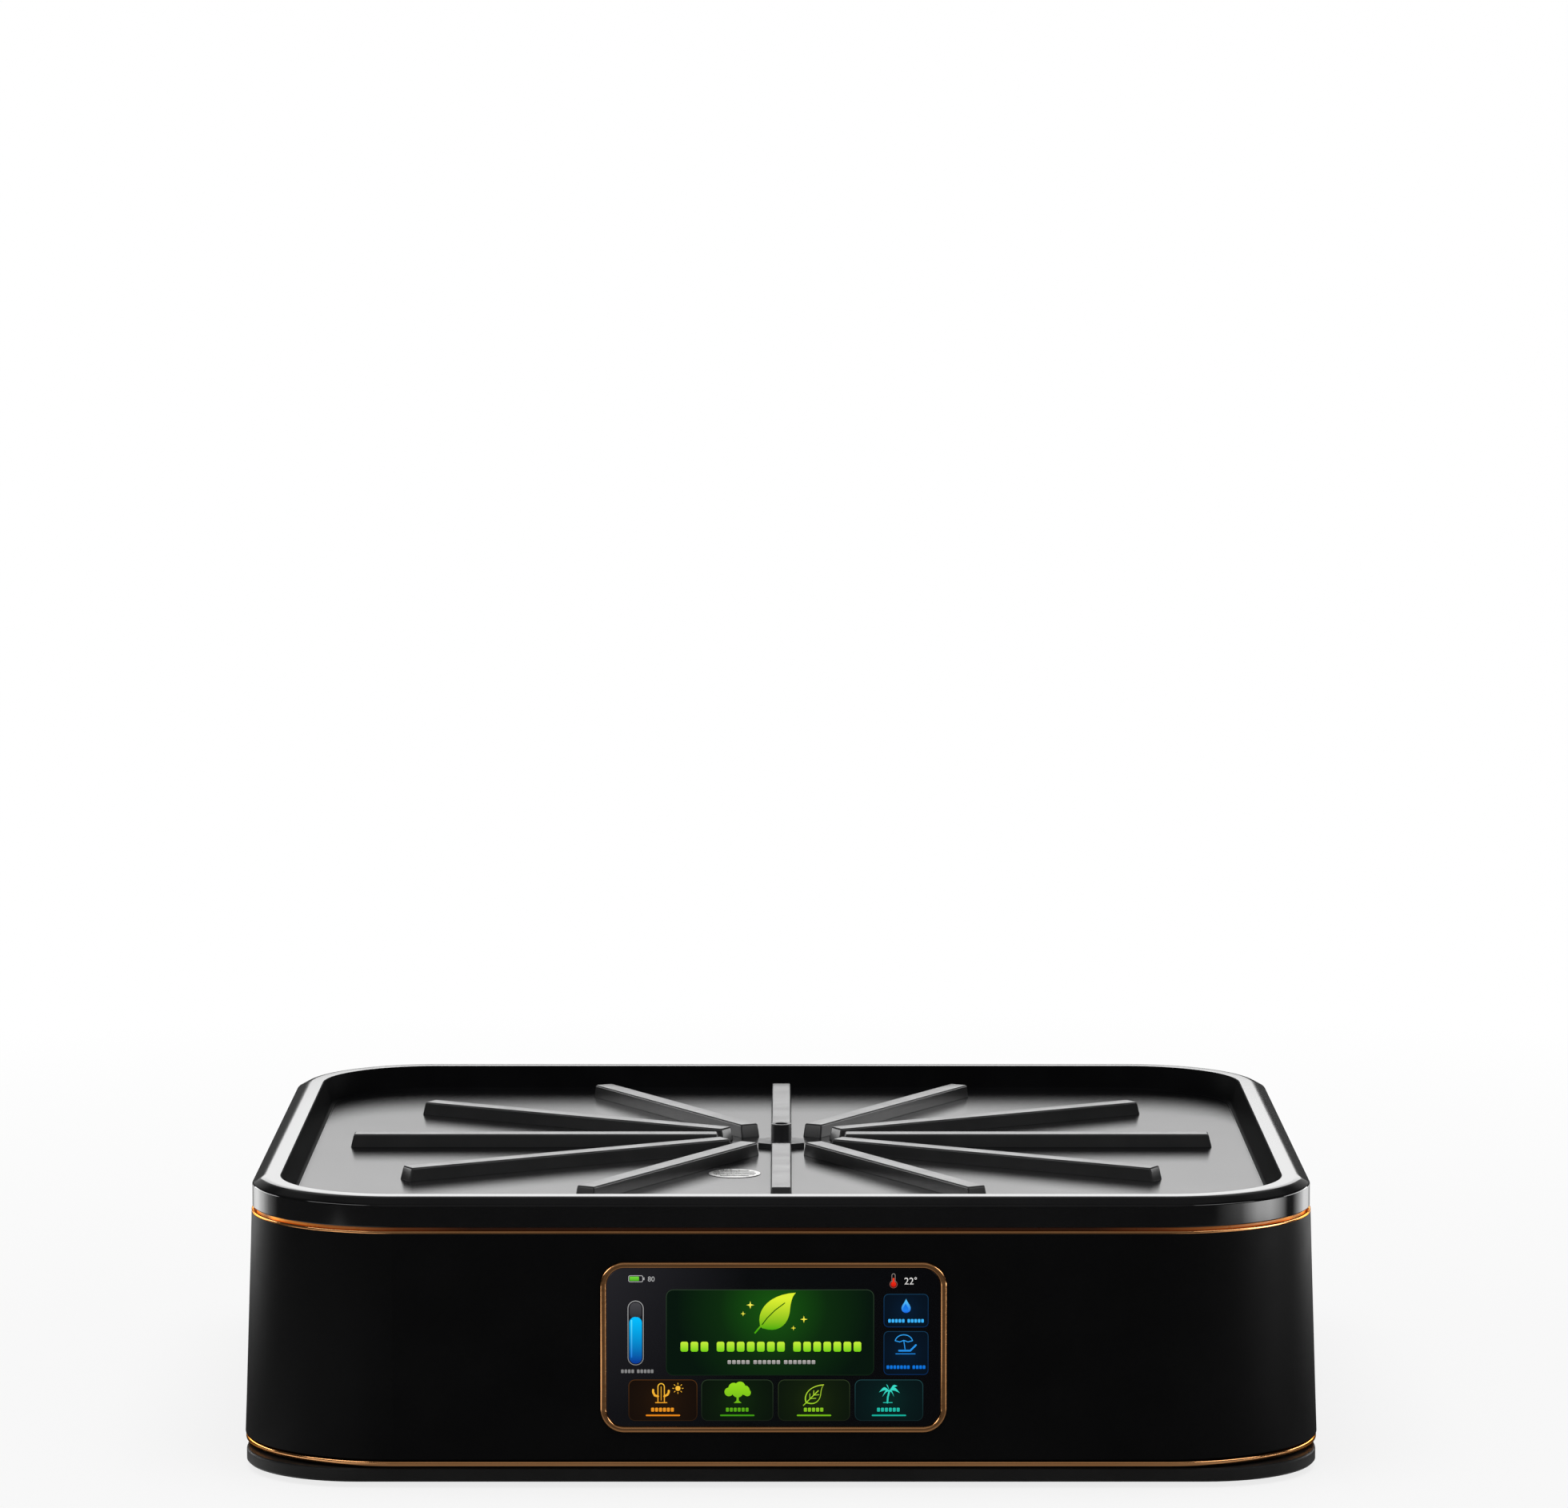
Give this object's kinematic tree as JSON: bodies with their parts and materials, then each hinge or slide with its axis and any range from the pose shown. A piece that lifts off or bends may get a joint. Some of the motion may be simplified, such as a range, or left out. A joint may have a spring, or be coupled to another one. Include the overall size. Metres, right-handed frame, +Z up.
{
  "type": "smart planter base",
  "caption": "Low rounded box that holds a flower pot on a ribbed tray, with a water tank, pump, light ring and touch screen inside.",
  "frame": {"origin": "on the ground under the middle of the base", "axes": "+X to the right seen from the screen side, +Y to the back, +Z up"},
  "size_m": [0.4054, 0.3499, 0.108],
  "materials": {
    "gloss_black": "high gloss black moulding",
    "satin_black": "satin black shell",
    "plinth_grey": "satin dark grey",
    "copper": "polished copper",
    "amber_clear": "clear amber light guide",
    "lamp_strip": "white flexible strip with lamps",
    "cover_glass": "clear cover glass",
    "screen": "dark screen",
    "black_rubber": "soft black rubber",
    "foam": "adhesive foam",
    "circuit_board": "green circuit board",
    "battery_wrap": "blue shrink wrap",
    "dark_plastic": "textured dark grey moulding",
    "tank_clear": "translucent grey tank",
    "lid_grey": "mid grey moulding",
    "pump_black": "black moulding",
    "impeller_white": "white moulding",
    "ceramic": "polished ceramic",
    "float_orange": "foam filled float",
    "steel": "stainless steel",
    "silicone": "grey silicone",
    "tube_clear": "clear tube",
    "cable_black": "soft cable jacket"
  },
  "bodies": {
    "base": {"housing": "satin_black", "base_plate": "plinth_grey", "rubber_feet": "black_rubber", "base_screws": "steel", "lower_trim": "copper", "upper_trim": "copper", "light_ring": "amber_clear", "led_bars": "lamp_strip", "tray_pads": "silicone", "display_bezel": "copper", "display_glass": "cover_glass", "display_gasket": "foam", "display_panel": "screen", "control_board": "circuit_board", "battery_pack": "battery_wrap", "battery_clamp": "steel", "electronics_cover": "dark_plastic", "water_tank": "tank_clear", "tank_seal": "black_rubber", "tank_lid": "lid_grey", "lid_clips": "steel", "outlet_seal": "silicone", "riser_tube": "tube_clear", "pump_housing": "pump_black", "pump_cover": "pump_black", "pump_shaft": "ceramic", "float_guide": "pump_black", "pump_cable": "cable_black", "door_hinge_pin": "steel", "filler_funnel": "dark_plastic", "port_panel": "dark_plastic", "power_switch": "pump_black", "charge_socket": "steel", "port_board": "circuit_board", "charge_cable": "cable_black"},
    "tray": {"top_tray": "gloss_black", "water_nozzle": "pump_black", "nozzle_nut": "pump_black", "drain_strainer": "steel"},
    "impeller": {"pump_impeller": "impeller_white"},
    "float": {"level_float": "float_orange"},
    "door": {"filler_door": "satin_black"},
    "button": {"power_button": "gloss_black", "switch_plunger": "impeller_white"}
  },
  "joints": [
    {"name": "tray_lift", "type": "slide", "parent": "base", "child": "tray", "axis": [0, 0, 1], "range_m": [0, 0.06]},
    {"name": "door_tilt", "type": "hinge", "parent": "base", "child": "door", "pos_m": [0.07, 0.17019, 0.06892], "axis": [-1, 0, 0], "range_deg": [0, 50]},
    {"name": "button_press", "type": "slide", "parent": "base", "child": "button", "axis": [0, -0.9994, -0.0345], "range_m": [0, 0.001], "stiffness_N_per_m": 800, "springref_m": -0.0005},
    {"name": "impeller_spin", "type": "hinge", "parent": "base", "child": "impeller", "pos_m": [-0.018, 0.01, 0.02], "axis": [0, 0, 1], "continuous": true},
    {"name": "float_rise", "type": "slide", "parent": "base", "child": "float", "axis": [0, 0, 1], "range_m": [0, 0.025]}
  ]
}
